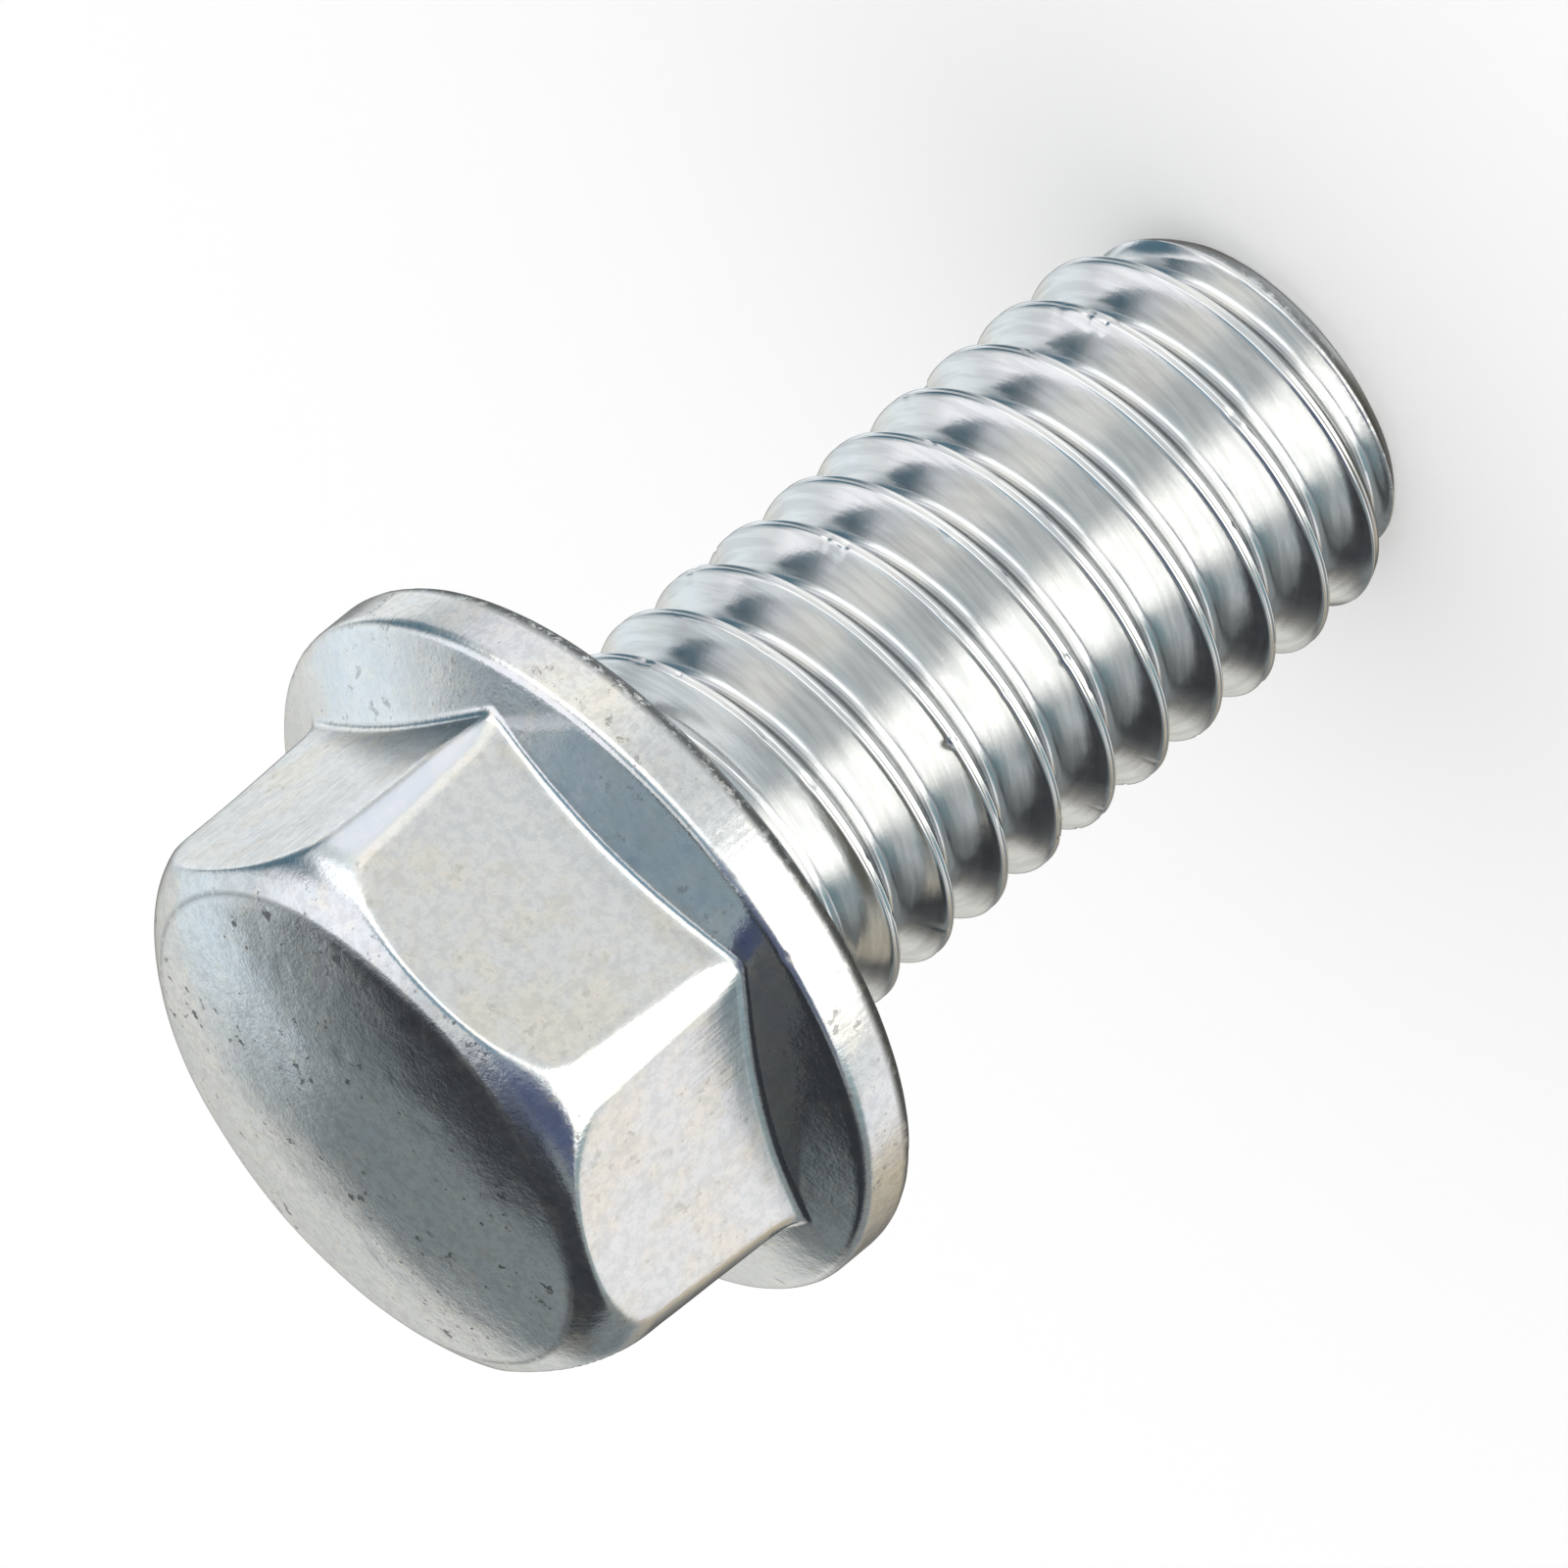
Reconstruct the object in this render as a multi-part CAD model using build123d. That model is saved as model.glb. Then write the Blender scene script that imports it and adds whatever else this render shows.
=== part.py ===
from build123d import *
import math
import os

# Small-series hexagon flange bolt, M6 x 1 x 12, cold forged in one piece and
# threaded along its whole shank. Millimetres. The origin is the centre of the
# bearing face: the head stands up along +Z, the shank hangs down along -Z.

# Thread, right-hand, with the crests and roots of the metric profile
THREAD_DIAMETER = 5.88      # over the crests
PITCH = 1.00
THREAD_ANGLE = 60.0         # between neighbouring flanks
SHANK_LENGTH = 11.88        # bearing face to tip

# Neck between flange and thread, tapered slightly towards the thread
NECK_STEP = 0.22            # from the thread's roots up to the neck
NECK_TAPER = 0.16           # on the radius
NECK_LENGTH = 0.90          # bearing face to the first of the grooves
NECK_BEVEL = 0.15           # in the corner between neck and bearing face
GROOVE_RUN_IN = 0.55        # length in which the grooves reach full depth
CREST_START = 0.50          # bearing face to where the crests begin to rise
CREST_RISE = 0.80           # length in which the crests reach full height

# Tip
LEAD_IN_DEPTH = 0.38        # how far the crests come down, on the radius
LEAD_IN_LENGTH = 1.00       # tip to the first full crest
TIP_BEVEL = 0.20            # edge of the end face
TIP_RING = 0.45             # flat ring of the end face, round its dish
TIP_DISH_DEPTH = 0.08

# Flange
FLANGE_DIAMETER = 10.54
RIM_THICKNESS = 0.96
RIM_LOWER_BEVEL = 0.24
RIM_UPPER_BEVEL = 0.12
CONE_ANGLE = 20.0           # of the flange top, from the bearing face

# Hexagon head
ACROSS_FLATS = 7.90
CORNER_PARING = 0.12        # taken off each sharp corner, on the radius
CORNER_FLARE = 0.45         # height in which the paring begins, over the flange
CORNER_DRAFT = 1.8          # degrees by which the pared corners lean inwards
SHOULDER_BEVEL = 0.40       # between the pared corners and the chamfer
CHAMFER_ANGLE = 32.0        # from the bearing face
CROWN_INSET = 0.22          # from the flats in to the circle that edges the dome
CROWN_HEIGHT = 4.77         # that circle, above the bearing face
DOME_RISE = 0.45            # middle of the dome, above that circle

OVERLAP = 0.05              # how far joined and trimmed forms run past each other

# Derived
SHARP_THREAD = PITCH / 2 / math.tan(math.radians(THREAD_ANGLE / 2))
CREST_FLAT = PITCH / 8
THREAD_DEPTH = SHARP_THREAD * (1 - 1 / 8 - 1 / 6)
THREAD_RADIUS = THREAD_DIAMETER / 2
ROOT_RADIUS = THREAD_RADIUS - THREAD_DEPTH
NECK_RADIUS = ROOT_RADIUS + NECK_STEP
NECK_TOP_RADIUS = NECK_RADIUS + NECK_TAPER
LEAD_IN_RADIUS = THREAD_RADIUS - LEAD_IN_DEPTH
TIP_FACE_RADIUS = LEAD_IN_RADIUS - TIP_BEVEL
RIM_RADIUS = FLANGE_DIAMETER / 2
CROWN_RADIUS = ACROSS_FLATS / 2 - CROWN_INSET
CORNER_RADIUS = ACROSS_FLATS / 2 / math.cos(math.pi / 6)


def tangent(degrees):
    return math.tan(math.radians(degrees))


def flange_top(radius):
    """Height of the flange's cone above the bearing face, at a radius."""
    return RIM_THICKNESS + (RIM_RADIUS - radius) * tangent(CONE_ANGLE)


def bevelled(face, corner, size):
    """Bevel one corner of a flat outline."""
    vertex = face.vertices().sort_by_distance((*corner, 0))[0]
    return chamfer(vertex, size)


def turned(face):
    """Turn a flat outline of (radius, height) round the Z axis."""
    return revolve(Plane.XZ * face, Axis.Z)


def flange_and_neck():
    """Flange cone, rim, flat bearing face, and the neck that ends in the grooves."""
    rim_top = (RIM_RADIUS, RIM_THICKNESS)
    rim_bottom = (RIM_RADIUS, 0)
    neck_top = (NECK_TOP_RADIUS, 0)
    run_in = GROOVE_RUN_IN / (NECK_RADIUS - ROOT_RADIUS)
    neck_end = -NECK_LENGTH - GROOVE_RUN_IN - OVERLAP * run_in
    outline = Polyline(
        (0, flange_top(0)),
        rim_top,
        rim_bottom,
        neck_top,
        (NECK_RADIUS, -NECK_LENGTH),
        (ROOT_RADIUS - OVERLAP, neck_end),
        (0, neck_end),
        close=True,
    )
    face = make_face(outline)
    face = bevelled(face, rim_top, RIM_UPPER_BEVEL)
    face = bevelled(face, rim_bottom, RIM_LOWER_BEVEL)
    face = bevelled(face, neck_top, NECK_BEVEL)
    return turned(face)


def hexagon():
    """Hexagon with pared corners, chamfered ring and domed top."""
    draft = tangent(CORNER_DRAFT)
    slope = tangent(CHAMFER_ANGLE)
    base = flange_top(CORNER_RADIUS)
    flare = CORNER_PARING / CORNER_FLARE
    pared_radius = CORNER_RADIUS - CORNER_PARING
    pared_height = base + CORNER_FLARE
    # where the line of the pared corners meets the line of the chamfer
    over_pared = CROWN_HEIGHT - pared_height
    run = (pared_radius - CROWN_RADIUS - over_pared * draft) / (1 - slope * draft)
    shoulder = (CROWN_RADIUS + run, CROWN_HEIGHT - run * slope)
    foot = RIM_THICKNESS / 2
    top = CROWN_HEIGHT + DOME_RISE
    sides = Polyline(
        (0, top),
        (0, foot),
        (CORNER_RADIUS + (base - foot) * flare, foot),
        (pared_radius, pared_height),
        shoulder,
        (CROWN_RADIUS, CROWN_HEIGHT),
    )
    dome_radius = (CROWN_RADIUS**2 + DOME_RISE**2) / (2 * DOME_RISE)
    dome_angle = math.degrees(math.asin(CROWN_RADIUS / dome_radius))
    dome = CenterArc((0, top - dome_radius), dome_radius, 90 - dome_angle, dome_angle)
    envelope = turned(bevelled(make_face(sides + dome), shoulder, SHOULDER_BEVEL))
    across = RegularPolygon(ACROSS_FLATS / 2, 6, major_radius=False)
    prism = extrude(across, amount=top + OVERLAP)
    return prism & envelope


def threaded_rod():
    """Core with the helical ridge wound on it, running past the tip."""
    bottom = -SHANK_LENGTH - PITCH
    height = -bottom - CREST_START / 2
    slope = tangent(THREAD_ANGLE / 2)
    half_foot = CREST_FLAT / 2 + (THREAD_DEPTH + OVERLAP) * slope
    foot_radius = ROOT_RADIUS - OVERLAP
    ridge_outline = Polyline(
        (foot_radius, -half_foot),
        (THREAD_RADIUS, -CREST_FLAT / 2),
        (THREAD_RADIUS, CREST_FLAT / 2),
        (foot_radius, half_foot),
        close=True,
    )
    ridge = sweep(
        Plane.XZ * make_face(ridge_outline),
        path=Helix(PITCH, height, foot_radius),
        is_frenet=True,
    )
    core = Cylinder(ROOT_RADIUS, height + 2 * PITCH)
    return Pos(0, 0, bottom) * ridge + Pos(0, 0, bottom + height / 2) * core


def thread_envelope():
    """What the thread may fill: crests rising from the neck, lead-in and tip."""
    rise = CREST_RISE / (THREAD_RADIUS - NECK_RADIUS)
    lead_in = (LEAD_IN_LENGTH - TIP_BEVEL) / LEAD_IN_DEPTH
    tip = -SHANK_LENGTH
    outline = Polyline(
        (0, -CREST_START + OVERLAP * rise),
        (NECK_RADIUS - OVERLAP, -CREST_START + OVERLAP * rise),
        (THREAD_RADIUS + OVERLAP, -CREST_START - CREST_RISE - OVERLAP * rise),
        (THREAD_RADIUS + OVERLAP, tip + LEAD_IN_LENGTH + OVERLAP * lead_in),
        (LEAD_IN_RADIUS, tip + TIP_BEVEL),
        (TIP_FACE_RADIUS, tip),
        (TIP_FACE_RADIUS - TIP_RING, tip),
        (0, tip + TIP_DISH_DEPTH),
        close=True,
    )
    return turned(make_face(outline))


def flange_bolt():
    thread = threaded_rod() & thread_envelope()
    return flange_and_neck() + hexagon() + thread


os.makedirs("parts", exist_ok=True)
export_step(flange_bolt(), "parts/flange_bolt.step")
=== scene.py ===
"""Looks of the flange bolt: one dense mesh over the CAD frame, its zinc finish, a white floor and the studio.

Sizes are in millimetres until a mesh is made. Heights are over the flange's bearing face, as in the CAD.
Studio directions are (bearing, elevation) in degrees: bearing 0 is towards the camera, and it grows clockwise
as seen from above the head.
"""
import math

import bpy
import numpy as np
from mathutils import Matrix, Vector


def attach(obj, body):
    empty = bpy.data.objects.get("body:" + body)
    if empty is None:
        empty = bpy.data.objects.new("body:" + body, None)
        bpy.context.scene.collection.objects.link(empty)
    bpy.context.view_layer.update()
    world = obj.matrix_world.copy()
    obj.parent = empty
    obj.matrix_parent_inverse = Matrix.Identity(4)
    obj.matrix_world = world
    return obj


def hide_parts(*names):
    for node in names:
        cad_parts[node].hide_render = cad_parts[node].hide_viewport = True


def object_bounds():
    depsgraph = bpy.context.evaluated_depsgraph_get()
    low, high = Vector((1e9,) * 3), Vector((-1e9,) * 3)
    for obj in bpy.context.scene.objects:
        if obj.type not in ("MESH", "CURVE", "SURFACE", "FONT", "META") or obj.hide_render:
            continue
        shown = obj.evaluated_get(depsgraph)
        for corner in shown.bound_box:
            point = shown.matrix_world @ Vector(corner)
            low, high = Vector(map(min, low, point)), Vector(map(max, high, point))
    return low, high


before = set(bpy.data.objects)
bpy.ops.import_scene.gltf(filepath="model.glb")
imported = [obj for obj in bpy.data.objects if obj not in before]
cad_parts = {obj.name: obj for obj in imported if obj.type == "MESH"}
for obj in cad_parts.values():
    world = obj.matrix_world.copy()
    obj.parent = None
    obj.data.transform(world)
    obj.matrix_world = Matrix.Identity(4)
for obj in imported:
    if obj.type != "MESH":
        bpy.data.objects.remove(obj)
CAD_BOX = [[float(v) for v in corner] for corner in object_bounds()]
MM = 0.001

# The forging, from the frame and from the part's sizes
RIM_RADIUS = CAD_BOX[1][0] / MM
SHANK_LENGTH = -CAD_BOX[0][2] / MM
DOME_TOP = CAD_BOX[1][2] / MM
RIM_THICKNESS = 0.96
RIM_LOWER_RADIUS = 0.33
RIM_UPPER_RADIUS = 0.13
CONE_ANGLE = 20.0
HALF_ACROSS_FLATS = 3.95
CORNER_PARING = 0.12
CORNER_FLARE = 0.45
CORNER_DRAFT = 1.8
FLARE_POINTS = ((0.55, 0.33), (0.85, 0.66))     # how the paring sets in: shares of its depth and height
CORNER_SOFTNESS = 0.05      # rounding between flats and pared corners
SHOULDER_RADIUS = 1.05
CHAMFER_ANGLE = 32.0
CROWN_RADIUS = 3.69
CROWN_HEIGHT = 4.77
CROWN_EASE = (0.09, 0.20)   # rounding of the crown's edge, on the chamfer and on the dome
FOOT_EASE = 0.12            # fillet where the flats meet the flange
NECK_TOP_RADIUS = 2.707
NECK_FILLET = 0.17
NECK_RADIUS = 2.547
NECK_LENGTH = 0.90
GROOVE_RUN_IN = 0.55
GROOVE_END_SOFTNESS = 0.05
CREST_START = 0.50
CREST_RISE = 0.80
NECK_SOFTNESS = 0.06        # rounding between thread and neck
BURIED = 0.2                # how far under the thread's roots the neck's form ends

# The thread
THREAD_RADIUS = 2.94
PITCH = 1.0
THREAD_DEPTH = 0.6134
CREST_FLAT = 0.125
FLANK_SLOPE = math.tan(math.radians(30))
CREST_SOFTNESS = 0.05
ROOT_SOFTNESS = 0.16
SEAM_DEPTH = 0.028          # fold that rolling leaves along the crest
SEAM_WIDTH = 0.020
LEAD_IN_DEPTH = 0.38
LEAD_IN_LENGTH = 1.00
LEAD_IN_SOFTNESS = 0.08
TIP_BEVEL = 0.20
TIP_SOFTNESS = 0.10
TIP_RING = 0.45
TIP_DISH_DEPTH = 0.08

# Mesh: columns, and the helical rows of the thread
CORNER_ARC = 6.0            # degrees each side of a corner with closely set columns
CORNER_COLUMNS = 18
FLAT_COLUMNS = 30
PROFILE_ROWS = (0, 0.022, 0.048, 0.072, 0.10, 0.20, 0.32, 0.39, 0.44)   # from a crest's middle, in pitches
HELIX_INSET = 0.42          # from the bearing face and from the tip, to where the helical rows end
HELIX_TOP = -HELIX_INSET
HELIX_BOTTOM = HELIX_INSET - SHANK_LENGTH
HELIX_CLEAR = 0.004         # helical rows keep this far from the level ones

# Mesh: level rows, as shares of the way along each form, or how many
DISH_ROWS = (0.15, 0.4, 0.65, 0.85, 0.95, 1.0)
RING_ROWS = (0.35, 0.7, 0.9, 1)
TIP_ROWS = 12
FACE_ROWS = (0.12, 0.35, 0.65, 0.88)
RIM_LOWER_ROWS = 9
RIM_ROWS = (0.3, 0.6)
CONE_ROWS = (0.08, 0.25, 0.45, 0.65, 0.82, 0.94)
WALL_ROWS = (0.06, 0.14, 0.24, 0.36, 0.5, 0.64, 0.78, 0.9)
FILLET_ROWS = 6
SHOULDER_ROWS = 19
CROWN_ROWS = 8
DOME_ROWS = np.linspace(0.98, 0.04, 26)

# View
CAMERA_BEARING = 18.0       # of the camera round +Z, from +X
CAMERA_ELEVATION = 25.5
AXIS_ON_SCREEN = 39.45      # the shank points this far above screen right
LENS = 600.0
VIEW_WIDTH = 20.2
VIEW_RISE = 0.4             # of the aim over the middle of the bolt
FLOOR_HALF = 500.0          # half the floor's side

# Nicks and dents: how many, range of their reach, range of their depth
CREST_NICKS = (110, (0.05, 0.13), (0.012, 0.035))
RIM_NICKS = (46, (0.06, 0.16), (0.012, 0.04))
DOME_DENTS = (26, (0.08, 0.3), (0.004, 0.012))
NICKED_TURNS = (2, 11)      # from the tip, up to but not with the last
CREST_EDGE = 0.06           # from a crest's middle
LOW_NICK_SHARE = 0.6        # of the rim's nicks that are on its lower edge
LOW_RIM_NICK = (RIM_RADIUS - 0.05, 0.12)
HIGH_RIM_NICK = (RIM_RADIUS - 0.04, RIM_THICKNESS - 0.02)
DENTED_RADIUS = 3.5
DENT_HEIGHT = CROWN_HEIGHT + 0.25

# Unevenness left by forging and rolling: height and wavelength
HEAD_SWELL = (0.012, 2.6)
FINE_SWELL = (0.0020, 0.9)
WAVES = 28                  # summed for each
WAVELENGTHS = (0.7, 1.6)    # their range, as shares of the wavelength
PEAK = 1.6                  # of the sum, over its usual size
SETBACK = 0.006             # of the surface from the solid's, to make room for the swell
HEAD_SETBACK = 0.004        # this much more on the head
RELIEF = 0.005              # height of what is too fine for the mesh

# Zones of the finish: from no effect to full
THREAD_ZONE = (0.3, 0.6)    # under the bearing face
CHAMFER_ZONE = (3.9, 4.2)
DOME_ZONE = (CROWN_HEIGHT, CROWN_HEIGHT + 0.05)
# The rim's lower edge: it gets speckle, and a painted dark line of shade
SHADED_AND_SPECKLED_RIM_EDGE = (RIM_RADIUS - 0.05, 0.17)

rng = np.random.default_rng(7)


def tangent(degrees):
    return math.tan(math.radians(degrees))


def smooth_min(a, b, width):
    share = np.clip(0.5 + 0.5 * (b - a) / width, 0, 1)
    return b + (a - b) * share - width * share * (1 - share)


def smooth_max(a, b, width):
    return -smooth_min(-a, -b, width)


def columns():
    """Angles of the columns, closer together near the hexagon's corners."""
    near = np.linspace(-CORNER_ARC, CORNER_ARC, CORNER_COLUMNS, endpoint=False)
    wide = np.linspace(CORNER_ARC, 60 - CORNER_ARC, FLAT_COLUMNS, endpoint=False)
    sector = np.concatenate([near, wide])
    return np.radians(np.concatenate([sector + 60 * side for side in range(6)]))


PHI = columns()
NUDGE = 1e-9                # keeps the columns off the jump between two flats


def off_middle(angle):
    """Angle from the middle of the flat that is nearest."""
    return angle % (math.pi / 3) - math.pi / 6


def bezier(start, corner, end, count):
    """Points of a curve that rounds a corner; any of the three may vary round the bolt."""
    for t in np.linspace(0, 1, count):
        yield tuple((1 - t) ** 2 * a + 2 * t * (1 - t) * b + t * t * c for a, b, c in zip(start, corner, end))


def toward(start, end, length):
    """The point this far from start on the way to end."""
    reach = np.hypot(end[0] - start[0], end[1] - start[1])
    return tuple(a + (b - a) * length / reach for a, b in zip(start, end))


def line(start, end, shares):
    for share in shares:
        yield tuple(a + (b - a) * share for a, b in zip(start, end))


# ---------------------------------------------------------------- shank

def thread_radius(phi, z):
    """Radius of the screw surface, with its rounded crests and roots and the seam of the crests."""
    turn = (z + SHANK_LENGTH) / PITCH - phi / (2 * math.pi)
    offset = np.abs((turn + 0.5) % 1 - 0.5) * PITCH
    flank = THREAD_RADIUS - (offset - CREST_FLAT / 2) / FLANK_SLOPE
    radius = smooth_min(np.full_like(flank, THREAD_RADIUS), flank, CREST_SOFTNESS)
    radius = smooth_max(radius, np.full_like(flank, THREAD_RADIUS - THREAD_DEPTH), ROOT_SOFTNESS)
    return radius - SEAM_DEPTH * np.exp(-((offset / SEAM_WIDTH) ** 2))


def shank_radius(phi, z):
    """Radius of neck, thread and tip at a height."""
    root = THREAD_RADIUS - THREAD_DEPTH
    crests = NECK_RADIUS + (-CREST_START - z) / CREST_RISE * (THREAD_RADIUS - NECK_RADIUS)
    from_tip = z + SHANK_LENGTH
    slope = LEAD_IN_DEPTH / (LEAD_IN_LENGTH - TIP_BEVEL)
    lead_in = THREAD_RADIUS - (LEAD_IN_LENGTH - from_tip) * slope
    bevel = THREAD_RADIUS - LEAD_IN_DEPTH - (TIP_BEVEL - from_tip)
    radius = smooth_min(thread_radius(phi, z), crests, NECK_SOFTNESS)
    radius = smooth_min(radius, lead_in, LEAD_IN_SOFTNESS)
    radius = smooth_min(radius, bevel, TIP_SOFTNESS)
    neck = NECK_RADIUS + (NECK_TOP_RADIUS - NECK_RADIUS) * (z + NECK_LENGTH) / NECK_LENGTH
    run_in = NECK_RADIUS - (-NECK_LENGTH - z) / GROOVE_RUN_IN * (NECK_RADIUS - root)
    collar = np.maximum(smooth_min(neck, run_in, GROOVE_END_SOFTNESS), root - BURIED)
    return smooth_max(radius, collar, NECK_SOFTNESS)


def tip_rows():
    """End face from near its centre to its edge, then the plain rows up to the helical ones."""
    edge = shank_radius(PHI, np.full_like(PHI, -SHANK_LENGTH))
    ring = edge - TIP_RING
    rows = []
    for share in DISH_ROWS:
        dish = TIP_DISH_DEPTH * (1 - share**3)
        rows.append((ring * share, dish - SHANK_LENGTH + 0 * PHI))
    rows += list(line((ring, 0 * PHI - SHANK_LENGTH), (edge, 0 * PHI - SHANK_LENGTH), RING_ROWS))
    for z in np.linspace(-SHANK_LENGTH, HELIX_BOTTOM, TIP_ROWS)[1:]:
        rows.append((shank_radius(PHI, np.full_like(PHI, z)), z + 0 * PHI))
    return rows


# ---------------------------------------------------------------- head

def flange_top(radius):
    return RIM_THICKNESS + (RIM_RADIUS - radius) * tangent(CONE_ANGLE)


def dome_height(radius):
    high = DOME_TOP - CROWN_HEIGHT
    sphere = (CROWN_RADIUS**2 + high**2) / (2 * high)
    return DOME_TOP - sphere + math.sqrt(sphere**2 - radius**2)


def corner_envelope():
    """Turned outline that pares the corners: its side, its rounded shoulder, and the crown's edge."""
    sharp = HALF_ACROSS_FLATS / math.cos(math.pi / 6)
    base = flange_top(sharp)
    pared = (sharp - CORNER_PARING, base + CORNER_FLARE)
    draft, slope = tangent(CORNER_DRAFT), tangent(CHAMFER_ANGLE)
    over = CROWN_HEIGHT - pared[1]
    run = (pared[0] - CROWN_RADIUS - over * draft) / (1 - slope * draft)
    shoulder = (CROWN_RADIUS + run, CROWN_HEIGHT - run * slope)
    crown = (CROWN_RADIUS, CROWN_HEIGHT)
    turn = math.radians(90 - CORNER_DRAFT - CHAMFER_ANGLE)
    reach = SHOULDER_RADIUS * math.tan(turn / 2)
    start, end = toward(shoulder, pared, reach), toward(shoulder, crown, reach)
    flare = [(sharp - depth * CORNER_PARING, base + height * CORNER_FLARE) for depth, height in FLARE_POINTS]
    return [(sharp, base), *flare, pared, start], list(bezier(start, shoulder, end, SHOULDER_ROWS)), crown


def head_side(envelope_radius):
    """Flats, with the corners pared to the turned outline."""
    flats = HALF_ACROSS_FLATS / np.cos(off_middle(PHI + NUDGE))
    return smooth_min(flats, envelope_radius + 0 * PHI, CORNER_SOFTNESS)


def head_rows():
    """Neck, bearing face, rim, flange cone, hexagon, chamfer and dome, as rows of radii and heights."""
    rows = []
    top_neck = (NECK_TOP_RADIUS, 0.0)
    fillet_low = toward(top_neck, (NECK_RADIUS, -NECK_LENGTH), NECK_FILLET)
    rows += list(bezier(fillet_low, top_neck, (NECK_TOP_RADIUS + NECK_FILLET, 0.0), FILLET_ROWS))
    rim_low = (RIM_RADIUS - RIM_LOWER_RADIUS, 0.0)
    rows += list(line((NECK_TOP_RADIUS + NECK_FILLET, 0.0), rim_low, FACE_ROWS))
    for angle in np.linspace(0, math.pi / 2, RIM_LOWER_ROWS):
        height = RIM_LOWER_RADIUS * (1 - math.cos(angle))
        rows.append((rim_low[0] + RIM_LOWER_RADIUS * math.sin(angle), height))
    rim_edge = (RIM_RADIUS, RIM_THICKNESS)
    rows += list(line((RIM_RADIUS, RIM_LOWER_RADIUS), rim_edge, RIM_ROWS))
    cone_start = (RIM_RADIUS - RIM_UPPER_RADIUS, flange_top(RIM_RADIUS - RIM_UPPER_RADIUS))
    rows += list(bezier((RIM_RADIUS, RIM_THICKNESS - RIM_UPPER_RADIUS), rim_edge, cone_start, FILLET_ROWS))

    side, shoulder, crown = corner_envelope()
    radii, heights = zip(*side)

    def on_side(z):
        return head_side(np.interp(z, heights, radii))

    foot_radius = head_side(radii[0])
    foot = (foot_radius, flange_top(foot_radius))
    cone_end_radius = foot_radius + FOOT_EASE * math.cos(math.radians(CONE_ANGLE))
    cone_end = (cone_end_radius, flange_top(cone_end_radius))
    rows += list(line(cone_start, cone_end, CONE_ROWS))
    wall_foot = foot[1] + FOOT_EASE
    rows += list(bezier(cone_end, foot, (on_side(wall_foot), wall_foot), FILLET_ROWS))
    for share in WALL_ROWS:
        z = wall_foot + (heights[-1] - wall_foot) * share
        rows.append((on_side(z), z))
    rows += [(head_side(radius), z + 0 * PHI) for radius, z in shoulder]

    ease_radius = CROWN_RADIUS - CROWN_EASE[1]
    ease_end = (ease_radius, dome_height(ease_radius))
    rows += list(bezier(toward(crown, shoulder[-1], CROWN_EASE[0]), crown, ease_end, CROWN_ROWS))
    for share in DOME_ROWS:
        rows.append((ease_radius * share, dome_height(ease_radius * share)))
    return [(radius + 0 * PHI, z + 0 * PHI) for radius, z in rows]


# ---------------------------------------------------------------- mesh

def helical_rows():
    """Heights of the rows that follow the thread, at the first column."""
    one = sorted({*PROFILE_ROWS, *(-row for row in PROFILE_ROWS), 0.5})
    turns = np.arange(-1, math.ceil(SHANK_LENGTH / PITCH) + 1)
    return np.concatenate([np.array(one) * PITCH + turn * PITCH for turn in turns]) - SHANK_LENGTH, len(one)


def bolt_mesh_data():
    """Vertices in millimetres, and faces, of the closed surface."""
    count = len(PHI)
    lower, upper = tip_rows(), head_rows()
    upper.insert(0, (shank_radius(PHI, np.full_like(PHI, HELIX_TOP)), HELIX_TOP + 0 * PHI))
    radii = [row[0] for row in lower]
    heights = [row[1] for row in lower]
    angles = [PHI] * len(lower)
    bottom = (len(lower) - 1) * count + np.arange(count)

    starts, per_turn = helical_rows()
    z = starts[None, :] + (PITCH * PHI / (2 * math.pi))[:, None]
    under, over = z <= HELIX_BOTTOM + HELIX_CLEAR, z >= HELIX_TOP - HELIX_CLEAR
    inside = ~(under | over)
    helix = np.zeros(z.shape, int)
    helix[inside] = len(lower) * count + np.arange(inside.sum())
    phi = np.broadcast_to(PHI[:, None], z.shape)[inside]
    radii.append(shank_radius(phi, z[inside]))
    heights.append(z[inside])
    angles.append(phi)
    first_upper = len(lower) * count + int(inside.sum())
    top = first_upper + np.arange(count)
    helix = np.where(under, bottom[:, None], helix)
    helix = np.where(over, top[:, None], helix)
    wrapped = np.concatenate([helix[0, per_turn:], np.full(per_turn, top[0])])
    helix = np.vstack([helix, wrapped[None, :]])
    for radius, height in upper:
        radii.append(radius)
        heights.append(height)
        angles.append(PHI)
    radii, heights, angles = (np.concatenate(part) for part in (radii, heights, angles))
    points = np.stack([radii * np.cos(angles), radii * np.sin(angles), heights], 1)

    def ring_quads(first, rows):
        grid = first + np.arange(rows * count).reshape(rows, count)
        grid = np.hstack([grid, grid[:, :1]])
        corners = (grid[:-1, :-1], grid[:-1, 1:], grid[1:, 1:], grid[1:, :-1])
        return np.stack(corners, -1).reshape(-1, 4)

    spiral = np.stack((helix[:-1, :-1], helix[1:, :-1], helix[1:, 1:], helix[:-1, 1:]), -1).reshape(-1, 4)
    quads = np.vstack([ring_quads(0, len(lower)), spiral, ring_quads(first_upper, len(upper))])
    faces = []
    for quad in quads.tolist():
        kept = [v for k, v in enumerate(quad) if v != quad[k - 1]]
        if len(set(kept)) > 2:
            faces.append(kept)
    tip_centre, dome_centre = len(points), len(points) + 1
    points = np.vstack([points, [0, 0, TIP_DISH_DEPTH - SHANK_LENGTH], [0, 0, DOME_TOP]])
    last = first_upper + (len(upper) - 1) * count
    for i in range(count):
        j = (i + 1) % count
        faces.append([tip_centre, j, i])
        faces.append([dome_centre, last + i, last + j])
    return points, faces


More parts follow.
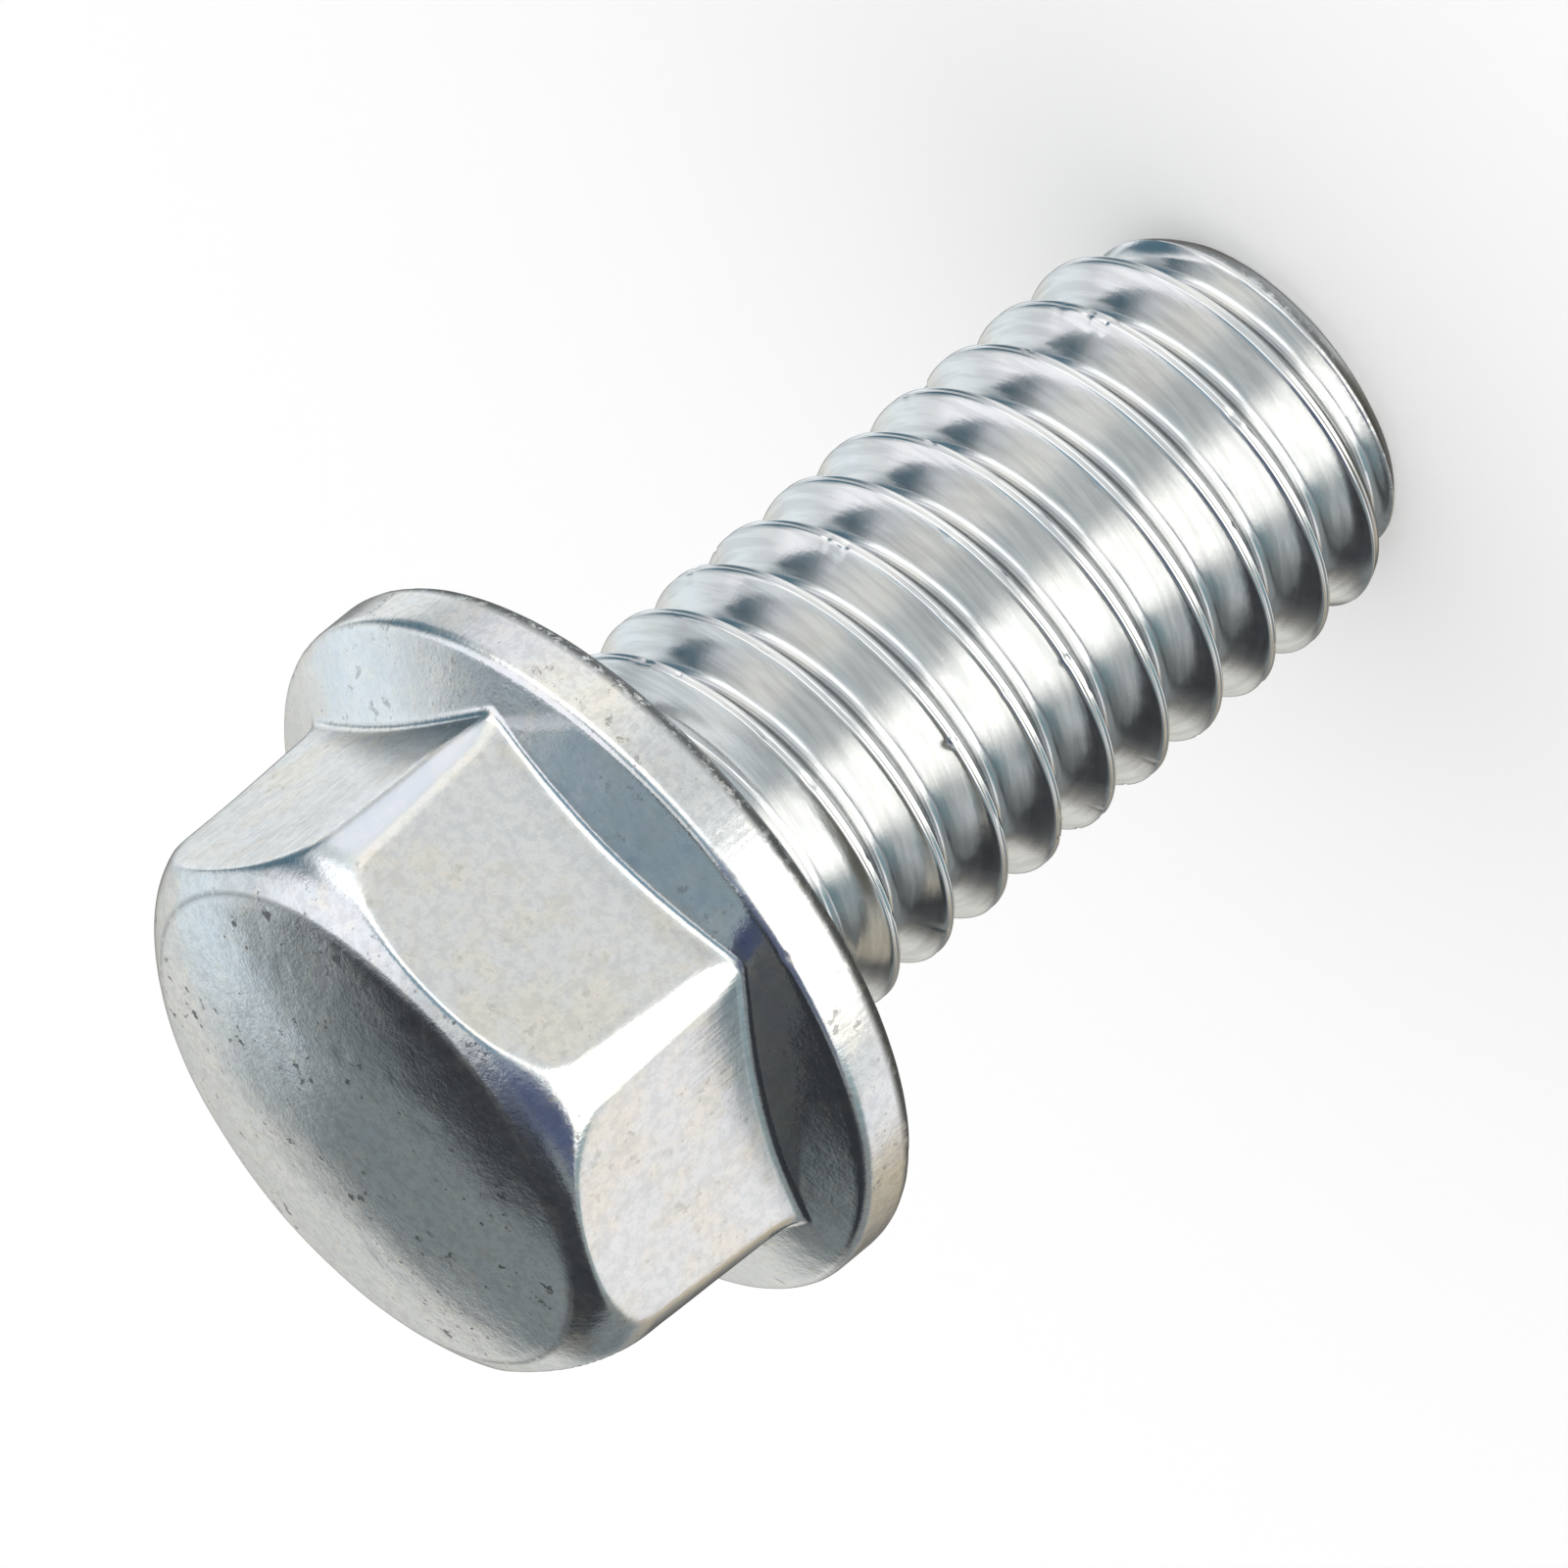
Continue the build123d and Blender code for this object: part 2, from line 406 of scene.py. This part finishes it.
def normals(points, faces):
    """Vertex normals, pointing out."""
    total = np.zeros_like(points)
    for size in (3, 4):
        ids = np.array([face for face in faces if len(face) == size])
        across = points[ids[:, 2]] - points[ids[:, 0]]
        other = points[ids[:, -1]] - points[ids[:, 1]]
        for corner in range(size):
            np.add.at(total, ids[:, corner], np.cross(across, other))
    return total / np.maximum(np.linalg.norm(total, axis=1), 1e-12)[:, None]


def wobble(points, height, wavelength):
    """Smooth seeded unevenness, mostly between minus and plus the height."""
    total = np.zeros(len(points))
    for _ in range(WAVES):
        wave = rng.normal(size=3)
        wave *= 2 * math.pi / (wavelength * rng.uniform(*WAVELENGTHS) * np.linalg.norm(wave))
        total += np.sin(points @ wave + rng.uniform(0, 2 * math.pi))
    return height * total / math.sqrt(WAVES / 2) / PEAK


def fade(distance, reach):
    """1 at no distance, falling to 0 at the reach."""
    return np.clip(1 - np.abs(distance) / reach, 0, 1)


def rise(value, start, end):
    """0 up to the start, 1 from the end on."""
    return np.clip((value - start) / (end - start), 0, 1)


def dent_spots():
    """Nicks of the crests and of the rim's edges, and dents of the dome: place, reach and depth of each."""
    spots = []
    count, reaches, depths = CREST_NICKS
    for _ in range(count):
        angle = rng.uniform(0, 2 * math.pi)
        turn = rng.integers(*NICKED_TURNS) + angle / (2 * math.pi)
        z = -SHANK_LENGTH + PITCH * turn + rng.choice((-CREST_EDGE, 0.0, CREST_EDGE))
        spots.append((THREAD_RADIUS, angle, z, rng.uniform(*reaches), rng.uniform(*depths)))
    count, reaches, depths = RIM_NICKS
    for _ in range(count):
        radius, z = LOW_RIM_NICK if rng.random() < LOW_NICK_SHARE else HIGH_RIM_NICK
        spots.append((radius, rng.uniform(0, 2 * math.pi), z, rng.uniform(*reaches), rng.uniform(*depths)))
    count, reaches, depths = DOME_DENTS
    for _ in range(count):
        radius = rng.uniform(0.2, 1) ** 0.5 * DENTED_RADIUS
        angle = rng.uniform(0, 2 * math.pi)
        spots.append((radius, angle, DENT_HEIGHT, rng.uniform(*reaches), rng.uniform(*depths)))
    return spots


def worn(points, faces):
    """The surface with the faint unevenness of forging and rolling, and with nicks, inside the CAD box."""
    on_head = rise(points[:, 2], RIM_THICKNESS, RIM_THICKNESS + 0.3)
    depth = on_head * wobble(points, *HEAD_SWELL) + wobble(points, *FINE_SWELL)
    depth -= SETBACK + HEAD_SETBACK * on_head
    for radius, angle, height, reach, sink in dent_spots():
        centre = np.array([radius * math.cos(angle), radius * math.sin(angle), height])
        near = np.clip(1 - ((points - centre) ** 2).sum(1) / reach**2, 0, 1)
        depth -= sink * near**2
    points = points + normals(points, faces) * depth[:, None]
    return np.clip(points, np.array(CAD_BOX[0]) / MM, np.array(CAD_BOX[1]) / MM)


def finish_zones(points):
    """Per vertex, as colour: satin, rolled streaks, speckle and roughness. By itself: painted shade along the
    edges of the rim, crown and tip.
    """
    radius = np.hypot(points[:, 0], points[:, 1])
    z = points[:, 2]
    from_axis = radius * np.cos(off_middle(np.arctan2(points[:, 1], points[:, 0])))
    flat = fade(from_axis - HALF_ACROSS_FLATS, 0.05) * (z > RIM_THICKNESS + 0.1)
    thread = rise(-z, *THREAD_ZONE)
    rim = fade(radius - RIM_RADIUS, 0.3) * (z < RIM_THICKNESS + 0.02)
    cone = fade(z - flange_top(radius), 0.1) * (z > RIM_THICKNESS)
    dome = rise(z, *DOME_ZONE) * (radius < CROWN_RADIUS)
    chamfer = rise(z, *CHAMFER_ZONE) * (1 - dome) * (1 - flat)
    low_edge = np.clip(1.6 - np.hypot(radius - SHADED_AND_SPECKLED_RIM_EDGE[0], z - SHADED_AND_SPECKLED_RIM_EDGE[1]) / 0.10, 0, 1)
    crown_line = fade(np.hypot(radius - CROWN_RADIUS, z - CROWN_HEIGHT), 0.07)
    tip_edge = np.hypot(radius - THREAD_RADIUS + LEAD_IN_DEPTH, z + SHANK_LENGTH - TIP_BEVEL)
    tip_line = fade(tip_edge, 0.16)

    satin = np.maximum(flat, 0.6 * rim)
    speckle = 0.8 * dome + 0.7 * chamfer + 0.16 * flat + 0.3 * low_edge + 0.45 * rim + 0.35 * cone
    rough = 0.8 * flat + 0.7 * rim + 0.10 * dome + 0.25 * chamfer + 0.38 * thread
    # Painted shade: dark thin outlines along the rim's lower edge, the crown's edge and the tip's edge, where
    # the metal turns away from the light
    painted_edge_shade = low_edge + 0.7 * crown_line + 0.8 * tip_line
    return np.stack([satin, thread, np.clip(speckle, 0, 1), np.clip(rough, 0, 1)], 1), np.clip(painted_edge_shade, 0, 1)


# ---------------------------------------------------------------- materials

class Nodes:
    """Short way to add and link shader nodes."""

    def __init__(self, tree):
        self.tree = tree
        tree.nodes.clear()

    def add(self, kind, inputs=None, **settings):
        """Add a node. Each input is an output to link from, or a value."""
        node = self.tree.nodes.new(kind)
        for name, value in settings.items():
            setattr(node, name, value)
        for key, value in (inputs or {}).items():
            if isinstance(value, bpy.types.NodeSocket):
                self.tree.links.new(value, node.inputs[key])
            else:
                node.inputs[key].default_value = value
        return node

    def math(self, operation, a, b=0.0, c=0.0, clamp=False):
        inputs = {0: a, 1: b, 2: c}
        return self.add("ShaderNodeMath", inputs, operation=operation, use_clamp=clamp).outputs[0]

    def times(self, a, b):
        return self.math("MULTIPLY", a, b)

    def plus(self, a, b, clamp=False):
        return self.math("ADD", a, b, clamp=clamp)

    def minus(self, a, b):
        return self.math("SUBTRACT", a, b)

    def larger(self, a, b):
        return self.math("MAXIMUM", a, b)

    def mix(self, share, a, b):
        """Colour a, with this share of colour b."""
        return self.add("ShaderNodeMix", {0: share, 6: a, 7: b}, data_type="RGBA").outputs[2]

    def ramp(self, value, low, high):
        """0 at low, 1 at high, smooth between."""
        inputs = {0: value, 1: low, 2: high}
        return self.add("ShaderNodeMapRange", inputs, interpolation_type="SMOOTHSTEP").outputs[0]

    def stretched(self, vector, scales):
        return self.add("ShaderNodeVectorMath", {0: vector, 1: scales}, operation="MULTIPLY").outputs[0]

    def noise(self, vector, scale, detail=3.0, roughness=0.55):
        inputs = {"Vector": vector, "Scale": scale, "Detail": detail, "Roughness": roughness}
        return self.add("ShaderNodeTexNoise", inputs).outputs[0]


def rgba(red, green, blue):
    return (red, green, blue, 1.0)


ZINC = rgba(0.80, 0.82, 0.83)
ZINC_BLUE = rgba(0.73, 0.78, 0.81)
ZINC_CREAM = rgba(0.87, 0.83, 0.74)
ZINC_LILAC = rgba(0.80, 0.77, 0.83)
ZINC_ROLLED = rgba(0.785, 0.79, 0.785)  # of the thread
ZINC_SATIN = rgba(0.915, 0.90, 0.875)   # of the flats and the rim
ZINC_WARM = rgba(0.95, 0.88, 0.765)     # patches on these
ZINC_DULL = rgba(0.50, 0.51, 0.52)
# near black: the pits, stains and grit, and the painted shade along the edges
SPECK_AND_EDGE_SHADE = rgba(0.09, 0.095, 0.10)
EDGE_TINT = rgba(0.60, 0.61, 0.62)      # the film of the finish at grazing angles


class ZincFields:
    """What the finish is worked out from: the zones of the surface, and noises in millimetres."""

    def __init__(self, n):
        zones = n.add("ShaderNodeAttribute", attribute_name="finish_zones")
        channels = n.add("ShaderNodeSeparateColor", {0: zones.outputs["Color"]}).outputs
        self.satin, self.thread, self.speckle = channels[0], channels[1], channels[2]
        self.rough = zones.outputs["Alpha"]
        # painted shade along the edges, kept on the mesh
        self.painted_edge_shade = n.add("ShaderNodeAttribute", attribute_name="painted_edge_shade").outputs["Fac"]

        place = n.add("ShaderNodeTexCoord").outputs["Object"]
        self.in_mm = n.stretched(place, (1 / MM,) * 3)
        # from the widest patches to the finest grain, then the marks of drawing and of rolling
        self.cloud = n.noise(self.in_mm, 0.9, 5.0, 0.7)
        self.veil = n.noise(self.in_mm, 3.1, 4.0, 0.65)
        self.grain = n.noise(self.in_mm, 6.5, 4.0, 0.75)
        self.fine = n.noise(self.in_mm, 17.0, 2.0, 0.6)
        self.drawn = n.noise(n.stretched(self.in_mm, (15.0, 15.0, 0.9)), 1.0, 1.0)
        self.rolled = n.noise(n.stretched(self.in_mm, (0.8, 0.8, 16.0)), 1.0, 2.0)


def zinc_dirt_and_edge_shade(n, f):
    """Pits, etched stains and grit of the speckled zones, and painted shade along the edges."""
    spots = n.add("ShaderNodeTexVoronoi", {"Vector": f.in_mm, "Scale": 5.5, "Randomness": 1.0})
    pits = n.times(n.ramp(spots.outputs["Distance"], 0.22, 0.08), n.ramp(f.veil, 0.53, 0.64))
    stains = n.ramp(n.noise(f.in_mm, 4.6, 3.0, 0.62), 0.60, 0.64)
    etched = n.times(stains, n.ramp(f.cloud, 0.50, 0.57))
    grit = n.times(n.ramp(f.grain, 0.60, 0.74), 0.75)
    dirt_and_edge_shade = n.times(n.larger(n.larger(pits, etched), grit), f.speckle)
    # painted shade: a dark, grainy outline along the rim, crown and tip
    edge_shade_lines = n.times(n.times(f.painted_edge_shade, 0.85), n.ramp(f.grain, 0.38, 0.50))
    return n.larger(dirt_and_edge_shade, edge_shade_lines)


def zinc_colour(n, f, dirt_and_edge_shade):
    """Bluish zinc with cream and lilac veils, satin flats, and dull streaks round the thread."""
    colour = n.mix(n.ramp(f.cloud, 0.38, 0.62), ZINC_BLUE, ZINC)
    colour = n.mix(n.times(n.ramp(f.veil, 0.52, 0.74), 0.7), colour, ZINC_CREAM)
    colour = n.mix(n.times(n.ramp(f.veil, 0.46, 0.30), 0.6), colour, ZINC_LILAC)
    colour = n.mix(n.times(f.thread, 0.75), colour, ZINC_ROLLED)
    satin = n.mix(n.ramp(f.cloud, 0.45, 0.62), ZINC_SATIN, ZINC_WARM)
    colour = n.mix(n.times(f.satin, 0.75), colour, satin)
    dull = n.plus(n.times(f.speckle, 0.6), n.times(f.satin, 0.20))
    dull = n.times(n.ramp(f.grain, 0.60, 0.38), dull)
    streaks = n.times(n.ramp(f.rolled, 0.60, 0.36), n.times(f.thread, 0.40))
    colour = n.mix(n.larger(dull, streaks), colour, ZINC_DULL)
    # darkened by pits, stains and grit, and by the painted shade along the edges
    return n.mix(dirt_and_edge_shade, colour, SPECK_AND_EDGE_SHADE)


def zinc_roughness(n, f, dirt_and_edge_shade):
    """The finish's own roughness, and on top of it the zones', patches, and the pits, stains, grit and painted
    edge shade.
    """
    rough = n.plus(n.times(f.rough, 0.24), 0.10)
    rough = n.plus(rough, n.times(n.minus(f.veil, 0.5), 0.15))
    return n.plus(rough, n.times(dirt_and_edge_shade, 0.3), clamp=True)


def zinc_relief(n, f):
    """Height of the finest unevenness: orange peel, drawing and rolling marks, and grain."""
    peel = n.times(n.minus(f.veil, 0.5), n.minus(1.1, n.times(f.thread, 0.92)))
    drawn = n.times(n.minus(f.drawn, 0.5), n.times(f.satin, 0.9))
    rolled = n.times(n.minus(f.rolled, 0.5), n.times(f.thread, 0.3))
    grained = n.times(n.minus(f.fine, 0.5), n.plus(n.times(f.speckle, 0.4), 0.2))
    return n.plus(n.plus(n.plus(peel, drawn), rolled), grained)


def zinc_material():
    material = bpy.data.materials.new("zinc_plate")
    material.use_nodes = True
    n = Nodes(material.node_tree)
    fields = ZincFields(n)
    dirt_and_edge_shade = zinc_dirt_and_edge_shade(n, fields)
    relief = zinc_relief(n, fields)
    bump = n.add("ShaderNodeBump", {"Strength": 1.0, "Distance": RELIEF * MM, "Height": relief})
    shader = n.add("ShaderNodeBsdfPrincipled", {
        "Base Color": zinc_colour(n, fields, dirt_and_edge_shade),
        "Metallic": 1.0,
        "Roughness": zinc_roughness(n, fields, dirt_and_edge_shade),
        "Specular Tint": EDGE_TINT,
        "Normal": bump.outputs[0],
    })
    n.add("ShaderNodeOutputMaterial", {0: shader.outputs[0]})
    return material


def seen_in_metal(n):
    """1 for rays that come from a reflection, 0 for the camera's and for soft light."""
    path = n.add("ShaderNodeLightPath").outputs
    return n.larger(path["Is Glossy Ray"], path["Is Transmission Ray"])


def floor_material():
    """White, keeps the bolt's shadow, and lets reflections in the metal through to the studio."""
    material = bpy.data.materials.new("white_floor")
    material.use_nodes = True
    n = Nodes(material.node_tree)
    white = n.add("ShaderNodeBsdfDiffuse", {"Color": rgba(0.98, 0.98, 0.98)})
    clear = n.add("ShaderNodeBsdfTransparent")
    mix = n.add("ShaderNodeMixShader", {0: seen_in_metal(n), 1: white.outputs[0], 2: clear.outputs[0]})
    n.add("ShaderNodeOutputMaterial", {0: mix.outputs[0]})
    return material


# ---------------------------------------------------------------- studio

STUDIO_LIGHT = 1.03
STUDIO_BASE = (0.78, 0.79, 0.785)
# Each card: bearings from and to, elevations from and to, width of its soft edge, all in degrees, and colour.
# A later card lies over an earlier one. Beside each card: the surfaces that mostly reflect it in the photo's
# view. Of the bolt's own surfaces, those at bearings 0 to 90 are at the lower right in that view, and those at
# 0 to -90 at the upper left. The numbers were typed. The first lists were guided by a map of the photo's
# colours by reflected direction and by a least-squares fit to them, the later ones by renders beside the photo.
STUDIO_CARDS = (
    (-8, 20, -80, -48, 14, (0.84, 0.85, 0.85)),         # low: what faces the tip, in the middle
    (20, 66, -80, -44, 16, (0.26, 0.27, 0.25)),         # the same, towards the lower right
    (-180, -105, -80, -35, 14, (0.5, 0.52, 0.53)),      # the same, far upper left
    (-140, -56, -80, -44, 14, (1.05, 1.07, 1.07)),      # the same, upper left
    (-80, 2, -46, 44, 24, (0.68, 0.745, 0.785)),        # level: rim, crests, edges of flats
    (-76, -38, -42, 8, 18, (1.08, 1.06, 1.01)),         # rim and crests, upper left
    (-86, -2, 8, 42, 12, (1.5, 1.51, 1.52)),            # crests and chamfer, upper left
    (-36, 4, -40, -12, 18, (0.73, 0.75, 0.755)),        # the middle flat
    (-100, -78, -32, -8, 12, (1.0, 1.0, 1.06)),         # the corner at its upper left
    (-66, 12, 50, 76, 12, (0.22, 0.34, 0.43)),          # flanks, from the middle to the upper left
    (12, 100, 42, 80, 14, (0.24, 0.27, 0.35)),          # flanks and chamfer, middle
    (30, 118, 28, 80, 14, (0.085, 0.11, 0.2)),          # flanks and chamfer, lower right
    (-138, -93, -18, 33, 20, (0.085, 0.17, 0.23)),      # thread and rim, far upper left
    (-146, -72, 39, 74, 12, (1.1, 1.1, 1.14)),          # flanks, upper left
    (-172, -146, 42, 80, 12, (0.36, 0.41, 0.44)),       # cone, upper left
    (-174, -132, 8, 36, 14, (0.86, 0.9, 0.92)),         # thread and cone, far upper left
    (-192, -126, -38, -2, 12, (1.32, 1.38, 1.41)),      # the upper left flat
    (84, 112, -36, -16, 12, (1.08, 1.07, 1.1)),         # the lower right flat
    (114, 154, -44, -12, 14, (0.66, 0.58, 0.45)),       # rim and thread, far lower right
    (66, 165, -84, -46, 14, (0.15, 0.14, 0.11)),        # what faces the tip, lower right
    (-200, 200, -100, -80, 12, (0.26, 0.27, 0.26)),     # straight down
    (82, 196, -13, 82, 18, (0.245, 0.27, 0.275)),       # dome
    (60, 140, 64, 88, 10, (0.1, 0.115, 0.18)),          # flanks in the middle
    (146, 160, 7, 22, 8, (0.15, 0.14, 0.125)),          # thread and chamfer, far lower right
    (140, 202, 43, 76, 14, (0.038, 0.04, 0.046)),       # dome and cone, in the middle
    (100, 156, 21, 76, 12, (0.03, 0.033, 0.038)),       # flanks and cone, lower right
    (186, 216, -8, 31, 12, (0.98, 1.06, 1.1)),          # ends of thread, dome and cone, upper left
    (154, 206, -24, 16, 14, (1.06, 1.03, 0.96)),        # far dome, and thread at the lower right
    (152, 208, -50, -14, 16, (0.22, 0.205, 0.19)),      # thread, at a grazing angle
    (66, 92, -16, 22, 16, (0.22, 0.34, 0.38)),          # dark line beside the bright band
    (6, 64, -52, 27, 18, (2.12, 2.08, 1.98)),           # bright band: thread, rim, near corner
)


def direction(bearing, elevation):
    around = math.radians(CAMERA_BEARING - bearing)
    up = math.radians(elevation)
    return Vector((math.cos(up) * math.cos(around), math.cos(up) * math.sin(around), math.sin(up)))


def studio_world():
    """White for the camera and for the floor; the metal sees soft cards and dark flags."""
    world = bpy.data.worlds.new("studio")
    bpy.context.scene.world = world
    world.use_nodes = True
    n = Nodes(world.node_tree)
    ray = n.add("ShaderNodeTexCoord").outputs["Generated"]
    x, y, z = n.add("ShaderNodeSeparateXYZ", {0: ray}).outputs
    bearing = n.plus(n.times(n.math("ARCTAN2", y, x), -180 / math.pi), CAMERA_BEARING)
    elevation = n.times(n.math("ARCSINE", z), 180 / math.pi)
    colour = rgba(*STUDIO_BASE)
    for left, right, low, high, soft, tint in STUDIO_CARDS:
        off = n.math("WRAP", n.minus(bearing, (left + right) / 2), 180.0, -180.0)
        across = n.ramp(n.math("ABSOLUTE", off), (right - left + soft) / 2, (right - left - soft) / 2)
        above = n.math("ABSOLUTE", n.minus(elevation, (low + high) / 2))
        upright = n.ramp(above, (high - low + soft) / 2, (high - low - soft) / 2)
        colour = n.mix(n.times(across, upright), colour, rgba(*tint))
    white = n.add("ShaderNodeBackground", {"Color": rgba(1, 1, 1), "Strength": STUDIO_LIGHT})
    cards = n.add("ShaderNodeBackground", {"Color": colour, "Strength": STUDIO_LIGHT})
    seen = n.add("ShaderNodeMixShader", {0: seen_in_metal(n), 1: white.outputs[0], 2: cards.outputs[0]})
    n.add("ShaderNodeOutputWorld", {0: seen.outputs[0]})


def stage_floor():
    half = FLOOR_HALF * MM
    base = CAD_BOX[0][2]
    corners = [(x * half, y * half, base) for x, y in ((-1, -1), (1, -1), (1, 1), (-1, 1))]
    mesh = bpy.data.meshes.new("floor")
    mesh.from_pydata(corners, [], [(0, 1, 2, 3)])
    mesh.materials.append(floor_material())
    floor = bpy.data.objects.new("floor", mesh)
    bpy.context.scene.collection.objects.link(floor)


def photo_camera():
    """Looks down on the head, rolled so that the shank points up to the right."""
    back = direction(0, CAMERA_ELEVATION)
    near = direction(0, 0)
    beside = near.cross(Vector((0, 0, 1)))
    head_way = (Vector((0, 0, 1)) - back * back.z).normalized()
    roll = math.radians(AXIS_ON_SCREEN)
    right = -math.cos(roll) * head_way + math.sin(roll) * beside
    up = -math.sin(roll) * head_way - math.cos(roll) * beside
    data = bpy.data.cameras.new("camera")
    data.lens = LENS
    distance = VIEW_WIDTH * MM * LENS / data.sensor_width
    aim = Vector((0, 0, (CAD_BOX[0][2] + CAD_BOX[1][2]) / 2 + VIEW_RISE * MM))
    turn = Matrix((right, up, back)).transposed().to_4x4()
    camera = bpy.data.objects.new("camera", data)
    camera.matrix_world = Matrix.Translation(aim + back * distance) @ turn
    bpy.context.scene.collection.objects.link(camera)
    bpy.context.scene.camera = camera


def bolt():
    points, faces = bolt_mesh_data()
    zones, painted_edge_shade = finish_zones(points)
    points = worn(points, faces)
    mesh = bpy.data.meshes.new("bolt_surface")
    mesh.from_pydata((points * MM).tolist(), [], faces)
    mesh.polygons.foreach_set("use_smooth", [True] * len(mesh.polygons))
    zone_colours = mesh.attributes.new("finish_zones", "FLOAT_COLOR", "POINT")
    zone_colours.data.foreach_set("color", zones.astype(np.float32).ravel())
    # painted shade along the edges, stored as an attribute of the mesh
    mesh.attributes.new("painted_edge_shade", "FLOAT", "POINT").data.foreach_set("value", painted_edge_shade.astype(np.float32))
    mesh.materials.append(zinc_material())
    mesh.validate()
    piece = bpy.data.objects.new("bolt_surface", mesh)
    bpy.context.scene.collection.objects.link(piece)
    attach(piece, "root")
    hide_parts("flange_bolt")


bolt()
stage_floor()
studio_world()
photo_camera()
bpy.context.scene.view_settings.view_transform = "Standard"
